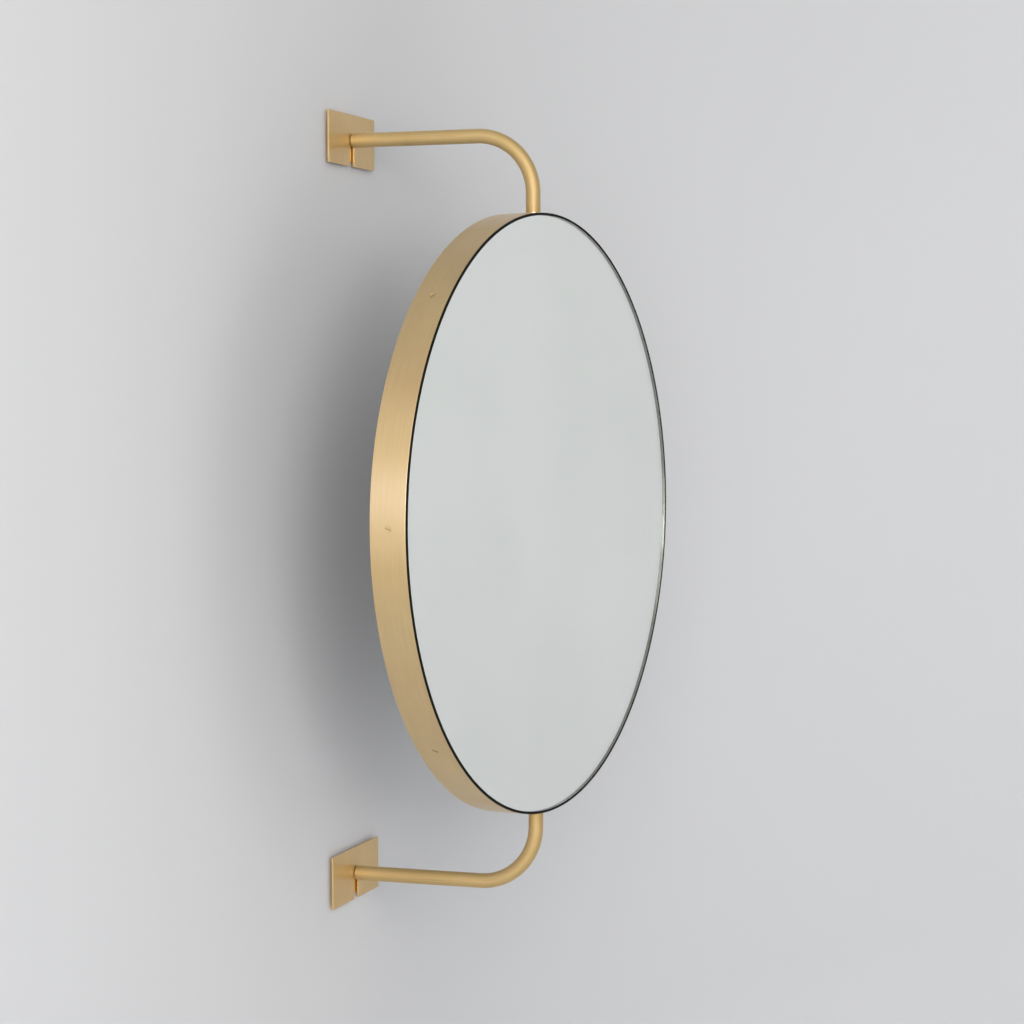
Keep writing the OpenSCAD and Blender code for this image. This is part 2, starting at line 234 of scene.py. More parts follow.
class Shell:
    """A closed mesh that grows grid by grid. Its surface coordinates are millimetres too:
    u runs along the brushing and v across it."""

    def __init__(self, name: str, place: Placement) -> None:
        """Starts an empty shell.

        Args:
            name: of the piece.
            place: from the shape's own frame to the shared one.
        """
        self.name = name
        self.place = place
        self.points: list[Array] = []
        self.uvs: list[Array] = []
        self.tarnish: list[Array] = []
        self.faces: list[list[int]] = []
        self.count = 0

    def _take(self, points: Array, uv: Array) -> int:
        """Stores points that no face uses yet.

        Args:
            points: any number of x, y and z.
            uv: as many pairs of surface coordinates.

        Returns:
            The number of the first one.
        """
        first = self.count
        self.points.append(self.place.apply(points.reshape(-1, 3)))
        self.uvs.append(uv.reshape(-1, 2))
        self.count += len(self.points[-1])
        self.tarnish.append(np.zeros(self.count - first))
        return first

    def grid(
        self, points: Array, uv: Array, keep: Array | None = None, tarnish: Array | None = None
    ) -> None:
        """Adds a grid of four-sided faces.

        Args:
            points: rows x columns x 3.
            uv: rows x columns x 2.
            keep: one flag per face, for a grid with windows in it.
            tarnish: rows x columns of painted shade, from 0 for bright metal to 1 for dark.
        """
        first = self._take(points, uv)
        if tarnish is not None:
            self.tarnish[-1] = tarnish.ravel()
        made = quads(*points.shape[:2]) + first
        kept = made.reshape(-1, 4) if keep is None else made[keep]
        self.faces += kept.tolist()

    def cap(self, loop: Array, uv: Array) -> None:
        """Adds one flat face round a loop whose last point repeats its first."""
        first = self._take(loop[:-1], uv[:-1])
        self.faces.append(list(range(first, self.count)))

    def turned(self, profile: Array, segments: int) -> None:
        """Turns a profile about the z axis: x = r cos a, y = r sin a, z = height.

        Args:
            profile: rows of radius and height.
            segments: round the full turn.
        """
        angle = np.linspace(0, 2 * np.pi, segments + 1)[:, None]
        radius, height = profile[None, :, 0], profile[None, :, 1]
        points = np.stack(
            [radius * np.cos(angle), radius * np.sin(angle), height + 0 * angle], -1
        )
        mean = float(profile[:, 0].mean())
        uv = np.stack([angle * mean + 0 * height, run_length(profile)[None] + 0 * angle], -1)
        self.grid(points, uv)

    def piece(self, finish: "Finish", body: str, *nodes: str) -> None:
        """Makes the mesh, with its doubled points merged and its faces outwards.

        Args:
            finish: of the whole piece.
            body: that it rides on.
            nodes: the solids that it stands for.
        """
        mesh = bpy.data.meshes.new(self.name)
        mesh.from_pydata((np.concatenate(self.points) * MM).tolist(), [], self.faces)
        corner = np.empty(len(mesh.loops), np.int32)
        mesh.loops.foreach_get("vertex_index", corner)
        layer = mesh.uv_layers.new(name="brushing")
        layer.data.foreach_set("uv", (np.concatenate(self.uvs)[corner] * MM).ravel())
        # painted shade for each point, kept as an attribute that the brass shader darkens by
        dark = np.concatenate(self.tarnish)
        if dark.any():
            mesh.attributes.new("tarnish", "FLOAT", "POINT").data.foreach_set("value", dark)
        work = bmesh.new()
        work.from_mesh(mesh)
        bmesh.ops.remove_doubles(work, verts=work.verts, dist=MERGE)
        bmesh.ops.recalc_face_normals(work, faces=work.faces)
        work.to_mesh(mesh)
        work.free()
        mesh.polygons.foreach_set("use_smooth", np.ones(len(mesh.polygons), bool))
        mesh.set_sharp_from_angle(angle=CREASE)
        mesh.materials.append(finish.material)
        made = show(self.name, mesh)
        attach(made, body)
        finish.slot
        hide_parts(*nodes)
        LOG.info("%s: %d faces, on %s", self.name, len(mesh.polygons), body)


@dataclass(frozen=True)
class Hole:
    """A round hole through a sheet.

    Its centre is a, b. Its wall goes from the outer skin to the inner one as rows of
    radius and depth. Its window, half a width and half a height, is the part of the
    sheet's grid that gives way to the rings round it.
    """

    a: float
    b: float
    wall: HoleWall
    window: Pair


def drilled(radius: float, depth: float) -> HoleWall:
    """The wall of a plain hole."""
    return ((radius, 0.0), (radius, depth))


def countersunk(mouth_r: float, radius: float, sink: float, depth: float) -> HoleWall:
    """The wall of a hole whose mouth is a cone, sunk that deep, for a screw's head."""
    return ((mouth_r, 0.0), (radius, sink), (radius, depth))


class Sheet:
    """A flat or bent sheet of one thickness. A point on it has two surface coordinates,
    a and b, and a depth below the outer skin."""

    def point(self, a: Array, b: Array, depth: Array | float) -> Array:
        """The place of a point, as x, y and z."""
        raise NotImplementedError

    def across(self, b: float) -> float:
        """Millimetres along the skin for each unit of a."""
        return 1.0

    def uv(self, a: Array, b: Array, depth: Array | float) -> Array:
        """Along the brushing and across it, in millimetres."""
        return np.stack([a * self.across(0.0) + 0 * b, b + depth + 0 * a], -1)

    def ring(self, hole: Hole, radius: float, angle: Array) -> tuple[Array, Array]:
        """The surface coordinates of a circle round a hole's centre."""
        aside, ahead = radius * np.cos(angle), radius * np.sin(angle)
        return hole.a + aside / self.across(hole.b), hole.b + ahead

    def lay(
        self, shell: Shell, a: Array, b: Array, depth: Array | float, keep: Array | None = None
    ) -> None:
        """Adds a grid of the sheet's points to a shell, as Shell.grid does."""
        shell.grid(self.point(a, b, depth), self.uv(a, b, depth), keep)

    def pierce(self, shell: Shell, a: Array, b: Array, hole: Hole) -> tuple[slice, slice]:
        """Adds a hole's wall, and on each skin the rings that join it to its window.

        Each ring is a weighted mean of the hole's circle and the window's frame.

        Args:
            shell: to add them to.
            a: the sheet's grid lines across the first surface coordinate.
            b: those across the second one.
            hole: to make.

        Returns:
            The faces of the sheet's grid that lie in the window, to be left out.
        """
        i0, i1 = (int(np.abs(a - hole.a - side * hole.window[0]).argmin()) for side in (-1, 1))
        j0, j1 = (int(np.abs(b - hole.b - side * hole.window[1]).argmin()) for side in (-1, 1))
        frames = frame_of(a[i0 : i1 + 1], b[j0 : j1 + 1])
        angle = np.arctan2(frames[1] - hole.b, (frames[0] - hole.a) * self.across(hole.b))
        share = np.linspace(0, 1, RING_STEPS)[None]
        for radius, depth in (hole.wall[0], hole.wall[-1]):
            rims = self.ring(hole, radius, angle)
            besides = self.ring(hole, radius + SUPPORT, angle)
            rings = [
                np.column_stack([rim, beside[:, None] * (1 - share) + line[:, None] * share])
                for rim, beside, line in zip(rims, besides, frames)
            ]
            self.lay(shell, *rings, depth)
        radii, depths = np.array(hole.wall, float).T
        circles = [self.ring(hole, radius, angle) for radius in radii]
        walls = [np.stack([circle[k] for circle in circles], 1) for k in (0, 1)]
        self.lay(shell, *walls, depths[None])
        return slice(i0, i1), slice(j0, j1)

    def add(
        self, shell: Shell, a: Array, b: Array, thickness: float, holes: Sequence[Hole] = ()
    ) -> None:
        """Adds both skins of the sheet and the walls of its holes.

        Args:
            shell: to add them to.
            a: grid lines across the first surface coordinate.
            b: grid lines across the second one.
            thickness: of the sheet.
            holes: through it.
        """
        keep = np.ones((len(a) - 1, len(b) - 1), bool)
        for hole in holes:
            keep[self.pierce(shell, a, b, hole)] = False
        grid_a, grid_b = np.meshgrid(a, b, indexing="ij")
        for depth in (0.0, thickness):
            self.lay(shell, grid_a, grid_b, depth, keep)

    def skirt(
        self, shell: Shell, a: Array, b: Array | float, out: Array | Pair, profile: Array
    ) -> None:
        """Carries an edge profile along a line on the sheet.

        Args:
            shell: to add the edge to.
            a: first surface coordinate of the line's points.
            b: second one, of each point or of them all.
            out: the outward direction in a and b, of each point or of them all.
            profile: rows of distance out and depth.
        """
        line = np.stack(np.broadcast_arrays(a, b), -1)
        ways = np.broadcast_to(out, line.shape)
        reach, depth = profile[None, :, 0], profile[None, :, 1]
        self.lay(shell, *(line[:, k, None] + ways[:, k, None] * reach for k in (0, 1)), depth)


@dataclass(frozen=True)
class HoopSheet(Sheet):
    """A band rolled into a hoop: a is the angle round it and b the depth along its axis."""

    radius: float

    def across(self, b: float) -> float:
        """The hoop's radius."""
        return self.radius

    def point(self, a: Array, b: Array, depth: Array | float) -> Array:
        """x = r cos a, y = r sin a and z = b, where r is the radius less the depth."""
        r = self.radius - depth
        return np.stack([r * np.cos(a) + 0 * b, r * np.sin(a) + 0 * b, b + 0 * a + 0 * r], -1)


@dataclass(frozen=True)
class DiscSheet(Sheet):
    """A flat disc: a is the angle and b the distance from the centre. Depth goes along +z."""

    height: float

    def across(self, b: float) -> float:
        """A circle's length grows with its distance from the centre."""
        return b

    def point(self, a: Array, b: Array, depth: Array | float) -> Array:
        """x = b cos a, y = b sin a and z = the outer skin's height plus the depth."""
        return np.stack([b * np.cos(a), b * np.sin(a), self.height + depth + 0 * a * b], -1)

    def uv(self, a: Array, b: Array, depth: Array | float) -> Array:
        """Flat x and y."""
        return np.stack([b * np.cos(a), b * np.sin(a) + depth], -1)

    def ring(self, hole: Hole, radius: float, angle: Array) -> tuple[Array, Array]:
        """A true circle, turned from x and y into angle and distance."""
        ahead, aside = hole.b + radius * np.sin(angle), radius * np.cos(angle)
        return hole.a + np.arctan2(aside, ahead), np.hypot(ahead, aside)


@dataclass(frozen=True)
class PlateSheet(Sheet):
    """A flat upright plate: a is x and b is z. Depth goes back to the wall, along +y."""

    front: float

    def point(self, a: Array, b: Array, depth: Array | float) -> Array:
        """x = a, z = b and y = the front's place plus the depth."""
        none = 0 * (a + b + depth)
        return np.stack([a + none, self.front + depth + none, b + none], -1)

    def uv(self, a: Array, b: Array, depth: Array | float) -> Array:
        """Brushed upright, so u is the height."""
        return np.stack([b + 0 * a + 0 * depth, a + depth + 0 * b], -1)


@dataclass(frozen=True)
class TubeSheet(Sheet):
    """A bent tube's wall: a is the angle round the tube and b the distance along it.
    The path is straight, then a quarter circle, then straight down to the pivot."""

    radius: float
    start: float
    height: float
    reach: float
    bend: float

    @property
    def bend_from(self) -> float:
        """Distance along the tube at which the bend begins."""
        return self.reach - self.bend - self.start

    @property
    def bend_to(self) -> float:
        """Distance along the tube at which the bend ends."""
        return self.bend_from + self.bend * math.pi / 2

    def across(self, b: float) -> float:
        """The tube's radius."""
        return self.radius

    def point(self, a: Array, b: Array, depth: Array | float) -> Array:
        """The centre line plus r times (x cos a + n sin a), where n points out of the bend.

        The centre line leaves the wall along -y. With w as the angle turned so far, the
        bend's centre plus bend radius times (-sin w along y, cos w along z) is the line,
        and n is that same direction. The last stretch falls along -z.

        Args:
            a: angle round the tube.
            b: distance along it.
            depth: below its outer skin.

        Returns:
            x, y and z of each point.
        """
        turned = np.clip((b - self.bend_from) / self.bend, 0, math.pi / 2)
        out = np.minimum(b, self.bend_from)
        down = np.maximum(b - self.bend_to, 0)
        r = self.radius - depth
        reach = (self.bend + r * np.sin(a)) * np.sin(turned)
        rise = (self.bend + r * np.sin(a)) * np.cos(turned)
        x = r * np.cos(a) + 0 * b
        return np.stack([x, -self.start - out - reach, self.height - self.bend + rise - down], -1)

    def uv(self, a: Array, b: Array, depth: Array | float) -> Array:
        """Brushed along the tube."""
        return np.stack([b + depth + 0 * a, a * self.radius + 0 * b + 0 * depth], -1)


@dataclass(frozen=True)
class SlottedScrew:
    """A countersunk screw with a straight driver slot, set just below the face at z = 0.
    The tilt is the slot's, in degrees."""

    head_r: float
    head_t: float
    shank_r: float
    length: float
    tilt: float = 0
    set_back: float = 0.1
    slot_w: float = 0.8
    slot_depth: float = 0.7
    # how much shade is painted round the head's rim, where the slot's floor gets the full amount
    rim_tarnish: float = 0.5
    chords: int = 9  # on each side of the slot
    last_chord: float = 82  # degrees round the head from the slot's line
    chord_points: int = 7

    def _radius(self, depth: Array) -> Array:
        """The head's radius, which falls evenly from its face to its shank."""
        share = np.clip((depth - self.set_back) / (self.head_t - self.set_back), 0, 1)
        return (self.head_r - self.set_back) * (1 - share) + self.shank_r * share

    def _face(self) -> tuple[Array, Array]:
        """Shapes the head's face, with its slot along a line turned by the tilt.

        It is a grid. Its rows lie across the slot, and each row's points spread over the
        chord that it cuts from the head's circle at its own depth. Shade is painted on the
        floor of the slot and, less dark, round the rim.

        Returns:
            The grid's points, and how much shade is painted on each one.
        """
        edge = self.slot_w / 2
        face_r = self.head_r - self.set_back
        turns = np.linspace(math.asin(edge / face_r), math.radians(self.last_chord), self.chords)
        outer = face_r * np.sin(turns)
        slot = np.array([-edge, -edge / 2, edge / 2, edge])
        x = np.concatenate([-outer[::-1], slot, outer])[:, None]
        level = np.full(self.chords, self.set_back)
        floor = np.full(len(slot), self.set_back + self.slot_depth)
        z = np.concatenate([level, floor, level])[:, None]
        chord = np.sqrt(np.maximum(self._radius(z) ** 2 - x**2, 0))
        y = chord * np.linspace(-1, 1, self.chord_points)[None]
        cos, sin = math.cos(math.radians(self.tilt)), math.sin(math.radians(self.tilt))
        points = np.stack([y * cos - x * sin, y * sin + x * cos, z + 0 * y], -1)
        # painted shade: full on the slot's floor, and less round the rim of the face
        dark = np.where(z > self.set_back, 1.0, 0.0) + 0 * y
        dark[:, [0, -1]] = np.maximum(dark[:, [0, -1]], self.rim_tarnish)
        dark[[0, -1]] = self.rim_tarnish
        return points, dark

    def add(self, shell: Shell, place: Placement) -> None:
        """Adds the screw to a shell: its face, and rings from the face's rim to the point.

        Args:
            shell: to add it to.
            place: its head at the placement's origin, its shank along z.
        """
        face, dark = self._face()
        shell.grid(place.apply(face), face[..., 1::-1], tarnish=dark)
        rim = np.concatenate([face[:, 0], face[-1, 1:], face[-2::-1, -1], face[0, -2::-1]])
        angle = np.arctan2(rim[:, 1], rim[:, 0])
        ends = (
            (self.shank_r, self.head_t),
            (self.shank_r, self.length - self.shank_r),
            (0.0, self.length),
        )
        rings = [
            np.stack([r * np.cos(angle), r * np.sin(angle), 0 * angle + depth], -1)
            for r, depth in ends
        ]
        side = np.stack([rim, *rings], 1)
        shell.grid(place.apply(side), side[..., 1:])


# ---------------------------------------------------------------- finishes


def linear(code: str) -> Colour:
    """Turns an sRGB hex colour into the linear values that shaders use.

    Args:
        code: six hex digits after a #.

    Returns:
        Red, green, blue and 1.
    """
    parts = [int(code[i : i + 2], 16) / 255 for i in (1, 3, 5)]
    return (*(p / 12.92 if p <= 0.04045 else ((p + 0.055) / 1.055) ** 2.4 for p in parts), 1.0)


def add(
    tree: Tree, kind: str, settings: dict[str, Any] | None = None,
    inputs: dict[Any, Any] | None = None,
) -> bpy.types.Node:
    """Adds a node with its settings and links.

    Args:
        tree: to add it to.
        kind: Blender's name of the node type, less its ShaderNode prefix.
        settings: attributes of the node. "stops" gives a ramp its positions and colours.
        inputs: a value, or another node's output socket, for each named or numbered input.

    Returns:
        The new node.
    """
    made = tree.nodes.new("ShaderNode" + kind)
    for name, value in (settings or {}).items():
        if name == "stops":
            for element, stop in zip(made.color_ramp.elements, value):
                element.position, element.color = stop
        else:
            setattr(made, name, value)
    for name, value in (inputs or {}).items():
        if isinstance(value, Socket):
            tree.links.new(value, made.inputs[name])
        else:
            made.inputs[name].default_value = value
    return made


def pattern(tree: Tree, size_mm: float | Triple, detail: float, fineness: float = 0.5) -> Socket:
    """Adds noise over the object's own coordinates.

    Args:
        tree: to add it to.
        size_mm: of its largest shapes, in all directions or along x, y and z.
        detail: how many finer sizes are laid over them, each half the one before.
        fineness: the strength of each of those against the one before.

    Returns:
        The noise, which lies around 0.5.
    """
    place = add(tree, "TexCoord").outputs["Object"]
    scale = tuple(np.broadcast_to(1 / (np.array(size_mm) * MM), 3))
    drawn = add(tree, "Mapping", None, {"Vector": place, "Scale": scale}).outputs[0]
    noise = {"Vector": drawn, "Scale": 1.0, "Detail": detail, "Roughness": fineness}
    return add(tree, "TexNoise", None, noise).outputs["Fac"]


@dataclass(frozen=True)
class Surface:
    """What a piece looks like. Each kind of surface has a shader of its own."""

    name: str

    def shader(self, tree: Tree) -> Socket:
        """Adds the nodes of the shader and returns its output."""
        raise NotImplementedError

    def material(self) -> bpy.types.Material:
        """Makes the material.

        Returns:
            The material, whose output shows the shader.
        """
        made = bpy.data.materials.new(self.name)
        made.use_nodes = True
        made.node_tree.nodes.clear()
        shader = self.shader(made.node_tree)
        add(made.node_tree, "OutputMaterial", None, {"Surface": shader})
        return made


@dataclass(frozen=True)
class TonedSurface(Surface):
    """A surface with two close tones that noise mixes. Where the noise lies below the
    span the first tone is pure, and above it the second one."""

    tones: tuple[str, str]
    roughness: float
    uneven: Pair = (0.0, 0.0)  # what each tone adds to the roughness
    span: Pair = (0.3, 0.7)

    def spread(self, tree: Tree, noise: Socket) -> dict[str, Any]:
        """Spreads the tones, and the roughness with them, over a noise.

        Args:
            tree: to add the nodes to.
            noise: that mixes them.

        Returns:
            The colour and the roughness, by the names of the shader's inputs.
        """
        stops = zip(self.span, map(linear, self.tones))
        colour = add(tree, "ValToRGB", {"stops": stops}, {"Fac": noise}).outputs["Color"]
        rough: Any = self.roughness
        if any(self.uneven):
            ends = (noise, *self.span, *(rough + more for more in self.uneven))
            rough = add(tree, "MapRange", None, dict(enumerate(ends))).outputs[0]
        return {"Base Color": colour, "Roughness": rough}


@dataclass(frozen=True, kw_only=True)
class BrushedBrass(TonedSurface):
    """Brass sheet and tube, linished on a belt and then lacquered.

    The belt leaves fine parallel scratches, so a highlight is drawn out across them and
    the tone varies in thin lines along them. The clear lacquer adds a paler, whiter
    sheen over the yellow metal. Where the lacquer lies thick, its film shows as a second
    highlight, white and tighter than the metal's own. On screw heads, shade is painted
    dark brown on the floor of the slot and, less, round the rim. Real scratches are
    about 0.05 mm apart: they are drawn 0.7 mm apart, as fine as a picture of the whole
    mirror can show.
    """

    anisotropy: float
    lacquer: float
    uneven: Pair = (0.05, -0.05)
    film: float = 0.0
    # painted shade: a dark brown mixed in where the mesh's shade attribute says, in screw slots
    # and round the heads
    tarnished: bool = False
    tarnish: str = "#764628"
    white: str = "#FFFFFF"
    line_mm: float = 0.7
    line_length_mm: float = 60.0
    line_depth_mm: float = 0.02
    line_share: float = 0.5  # of the tone, and clouds give the rest
    cloud_mm: float = 111.0
    lacquer_roughness: float = 0.22
    film_roughness: float = 0.34
    film_anisotropy: float = 1.0
    quarter_turn: float = 0.25  # lays the highlight across the brushing

    def shader(self, tree: Tree) -> Socket:
        """Adds the shader: streaks from noise stretched along the brushing.

        Args:
            tree: to add it to.

        Returns:
            Its output.
        """
        where = add(tree, "UVMap", {"uv_map": "brushing"}).outputs["UV"]
        scale = (1 / (self.line_length_mm * MM), 1 / (self.line_mm * MM), 1.0)
        drawn = add(tree, "Mapping", None, {"Vector": where, "Scale": scale}).outputs[0]
        streaks = {"Vector": drawn, "Scale": 1.0, "Detail": 3.0, "Roughness": 0.65}
        lines = add(tree, "TexNoise", {"noise_dimensions": "2D"}, streaks).outputs["Fac"]
        parts = {0: self.line_share, 2: pattern(tree, self.cloud_mm, 3.0), 3: lines}
        look = self.spread(tree, add(tree, "Mix", None, parts).outputs[0])
        # mixes the painted shade's dark brown into the tone
        if self.tarnished:
            share = add(tree, "Attribute", {"attribute_name": "tarnish"}).outputs["Fac"]
            parts = {0: share, 6: look["Base Color"], 7: linear(self.tarnish)}
            look["Base Color"] = add(tree, "Mix", {"data_type": "RGBA"}, parts).outputs[2]
        relief = {"Strength": 1.0, "Distance": self.line_depth_mm * MM, "Height": lines}
        along = {"direction_type": "UV_MAP", "uv_map": "brushing"}
        brushed = {
            "Metallic": 1.0, "Anisotropic Rotation": self.quarter_turn,
            "Normal": add(tree, "Bump", None, relief).outputs[0],
            "Tangent": add(tree, "Tangent", along).outputs[0],
        }
        coat = {"Coat Weight": self.lacquer, "Coat Roughness": self.lacquer_roughness}
        metal = {**brushed, **look, **coat, "Anisotropic": self.anisotropy}
        shader = add(tree, "BsdfPrincipled", None, metal).outputs[0]
        if self.film:
            sheen = {
                **brushed, "Base Color": linear(self.white), "Roughness": self.film_roughness,
                "Anisotropic": self.film_anisotropy,
            }
            parts = {0: self.film, 1: shader}
            parts[2] = add(tree, "BsdfPrincipled", None, sheen).outputs[0]
            shader = add(tree, "MixShader", None, parts).outputs[0]
        return shader


@dataclass(frozen=True)
class TurnedMetal(TonedSurface):
    """Bar stock turned on a lathe: screws, plugs, pins, nuts and washers.

    A fresh, even shine with a slight cloudiness, and faint tool marks 0.4 mm apart.
    """

    uneven: Pair = (0.08, -0.06)
    cloud_mm: float = 4.0
    mark_mm: float = 0.4
    mark_depth_mm: float = 0.02
    mark_strength: float = 0.6

    def shader(self, tree: Tree) -> Socket:
        """Adds the shader: metal with clouds and tool marks.

        Args:
            tree: to add it to.

        Returns:
            Its output.
        """
        look = self.spread(tree, pattern(tree, self.cloud_mm, 4.0, 0.6))
        relief = {"Strength": self.mark_strength, "Distance": self.mark_depth_mm * MM}
        relief["Height"] = pattern(tree, self.mark_mm, 2.0)
        look["Normal"] = add(tree, "Bump", None, relief).outputs[0]
        return add(tree, "BsdfPrincipled", None, {**look, "Metallic": 1.0}).outputs[0]


@dataclass(frozen=True)
class FloatGlass(TonedSurface):
    """Clear float glass, with a faint film of dust in clouds. The iron in it turns what
    is seen through it very slightly green."""

    name: str = "clear_float_glass"
    tones: tuple[str, str] = ("#FAFCFA", "#F7FAF7")
    roughness: float = 0.0
    span: Pair = (0.35, 0.7)
    dust_mm: float = 167.0
    ior: float = 1.52

    def shader(self, tree: Tree) -> Socket:
        """Adds a shader that lets all light through."""
        look = self.spread(tree, pattern(tree, self.dust_mm, 4.0, 0.55))
        look |= {"IOR": self.ior, "Transmission Weight": 1.0}
        return add(tree, "BsdfPrincipled", None, look).outputs[0]


@dataclass(frozen=True)
class SilverLayer(TonedSurface):
    """Silver laid on the back of the glass by a chemical bath: close to a perfect mirror,
    sharp in reflection and very slightly aged in clouds."""

    name: str = "silvering"
    tones: tuple[str, str] = ("#F8F9F7", "#F5F6F4")
    roughness: float = 0.012
    span: Pair = (0.35, 0.7)
    cloud_mm: float = 200.0

    def shader(self, tree: Tree) -> Socket:
        """Adds the shader of a bright metal."""
        look = self.spread(tree, pattern(tree, self.cloud_mm, 3.0))
        return add(tree, "BsdfPrincipled", None, {**look, "Metallic": 1.0}).outputs[0]


@dataclass(frozen=True)
class GroundGlass(TonedSurface):
    """The side of the pane, ground on a wheel and seen through the glass: a grey-green
    ring, part dull and part shiny, that still catches a bright window."""

    name: str = "ground_glass_edge"
    tones: tuple[str, str] = ("#6F746A", "#7F8479")
    roughness: float = 0.18
    span: Pair = (0.35, 0.65)
    mark_mm: float = 2.0
    shine: float = 0.4

    def shader(self, tree: Tree) -> Socket:
        """Adds a shader that is partly metal, with wheel marks in it."""
        look = self.spread(tree, pattern(tree, self.mark_mm, 2.0))
        return add(tree, "BsdfPrincipled", None, {**look, "Metallic": self.shine}).outputs[0]


@dataclass(frozen=True, kw_only=True)
class Filled(TonedSurface):
    """A dull solid material with a grain: moulded rubber, foam, board or lacquered panel.

    Two close tones are mixed by a grain of the given size, and the same grain roughens
    the surface a little.
    """

    grain_mm: float | Triple
    relief_mm: float
    specular: float = 0.5
    cloud_mm: float = 71.0
    grain_share: float = 0.6  # of the tone, and clouds give the rest
    uneven: Pair = (0.06, -0.06)
    span: Pair = (0.35, 0.65)

    def shader(self, tree: Tree) -> Socket:
        """Adds the shader: grain in the tone, the roughness and the relief.

        Args:
            tree: to add it to.

        Returns:
            Its output.
        """
        grain = pattern(tree, self.grain_mm, 4.0, 0.6)
        parts = {0: self.grain_share, 2: pattern(tree, self.cloud_mm, 2.0), 3: grain}
        look = self.spread(tree, add(tree, "Mix", None, parts).outputs[0])
        relief = {"Strength": 1.0, "Distance": self.relief_mm * MM, "Height": grain}
        look["Normal"] = add(tree, "Bump", None, relief).outputs[0]
        look["Specular IOR Level"] = self.specular
        return add(tree, "BsdfPrincipled", None, look).outputs[0]


@dataclass(frozen=True)
class WallPaint(Surface):
    """Plain pale emulsion on plaster, for the stage. It is open from behind, so that the
    back of the mirror can be looked at through it."""

    colour: str
    cloud_mm: float = 833.0
    span: Pair = (0.3, 0.7)
    darkest: float = 0.985

    def shader(self, tree: Tree) -> Socket:
        """Adds the shader: matt in front, nothing behind.

        Args:
            tree: to add it to.

        Returns:
            Its output.
        """
        ends = (pattern(tree, self.cloud_mm, 2.0), *self.span, self.darkest, 1.0)
        shade = add(tree, "MapRange", None, dict(enumerate(ends))).outputs[0]
        tint = {"Value": shade, "Color": linear(self.colour)}
        paint = add(tree, "HueSaturation", None, tint).outputs[0]
        sides = {
            0: add(tree, "NewGeometry").outputs["Backfacing"],
            1: add(tree, "BsdfDiffuse", None, {"Color": paint}).outputs[0],
            2: add(tree, "BsdfTransparent").outputs[0],
        }
        return add(tree, "MixShader", None, sides).outputs[0]


class Finish(Enum):
    """Every finish on the mirror, each with the record's material slot before it."""

    BAND = (
        "band_brass",
        BrushedBrass(
            "brushed_brass_band", ("#C9A04A", "#DDBB6A"), 0.5, anisotropy=0.6, lacquer=0.5,
            film=0.2,
        ),
    )
    # screw heads, with shade painted in their slots and round their rims
    HEAD = (
        "turned_brass",
        BrushedBrass(
            "brass_linished_with_band", ("#C9A04A", "#DDBB6A"), 0.5, anisotropy=0.6,
            lacquer=0.4, film=0.16, tarnished=True,
        ),
    )
    PLATE = (
        "plate_brass",
        BrushedBrass(
            "brushed_brass_plate", ("#CEAB6C", "#E0C388"), 0.6, anisotropy=0.1, lacquer=0.7
        ),
    )
    MOUNT = (
        "plate_brass",
        BrushedBrass("raw_brass_plate", ("#D69C3E", "#E8B252"), 0.35, anisotropy=0.1, lacquer=0.0),
    )
    TUBE = (
        "tube_brass",
        BrushedBrass(
            "brushed_brass_tube", ("#C5A872", "#D7BF8C"), 0.68, anisotropy=0.1, lacquer=0.25
        ),
    )
    TURNED = ("turned_brass", TurnedMetal("turned_brass", ("#C9A468", "#DDBB80"), 0.28))
    BRONZE = ("bronze", TurnedMetal("bronze", ("#AD8150", "#C79A66"), 0.4))
    STEEL = ("steel", TurnedMetal("zinc_plated_steel", ("#B2B5B9", "#C9CCD0"), 0.3))
    PANE = ("mirror_glass", FloatGlass())
    SILVER = ("mirror_glass", SilverLayer())
    EDGE = ("mirror_glass", GroundGlass())
    SEAL = (
        "edge_seal",
        Filled(
            "moulded_rubber", ("#090806", "#0E0D0A"), 0.6, grain_mm=0.8, relief_mm=0.01,
            specular=0.12,
        ),
    )
    FOAM = (
        "foam",
        Filled(
            "closed_cell_foam", ("#83837F", "#9A9A97"), 0.9, grain_mm=0.9, relief_mm=0.15,
            specular=0.2,
        ),
    )
    BOARD = (
        "board",
        Filled(
            "raw_birch_plywood", ("#C6A678", "#D9BD92"), 0.75, grain_mm=(13.3, 1.6, 1.6),
            relief_mm=0.06, specular=0.3,
        ),
    )
    PANEL = (
        "panel",
        Filled(
            "lacquered_hardboard", ("#1B1A19", "#262524"), 0.5, grain_mm=0.6, relief_mm=0.02
        ),
    )

    @property
    def slot(self) -> str:
        """The record's name of this finish."""
        return self.value[0]

    @property
    def material(self) -> bpy.types.Material:
        """The Blender material, built when it is first asked for."""
        recipe = self.value[1]
        return bpy.data.materials.get(recipe.name) or recipe.material()


def dress(finish: Finish, *nodes: str) -> None:
    """Puts a finish on solids that are kept as they are.

    Args:
        finish: for all of them.
        nodes: their names.
    """
    for name in nodes:
        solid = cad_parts[name]
        if not solid.data.materials:
            solid.data.materials.append(None)
        for place in solid.material_slots:
            place.material = finish.material
        finish.slot
        LOG.info("%s: kept solid, %s", name, finish.slot)


# ---------------------------------------------------------------- the mirror


def hole_circle(angles: Sequence[float], at: float, wall: HoleWall, window: Pair) -> list[Hole]:
    """Spaces equal holes round a hoop or a disc.

    Args:
        angles: of the holes, in degrees.
        at: their place across the sheet.
        wall: of each hole.
        window: of each hole, as degrees round the sheet and millimetres across it.

    Returns:
        The holes.
    """
    size = (math.radians(window[0]), window[1])
    return [Hole(math.radians(angle), at, wall, size) for angle in angles]


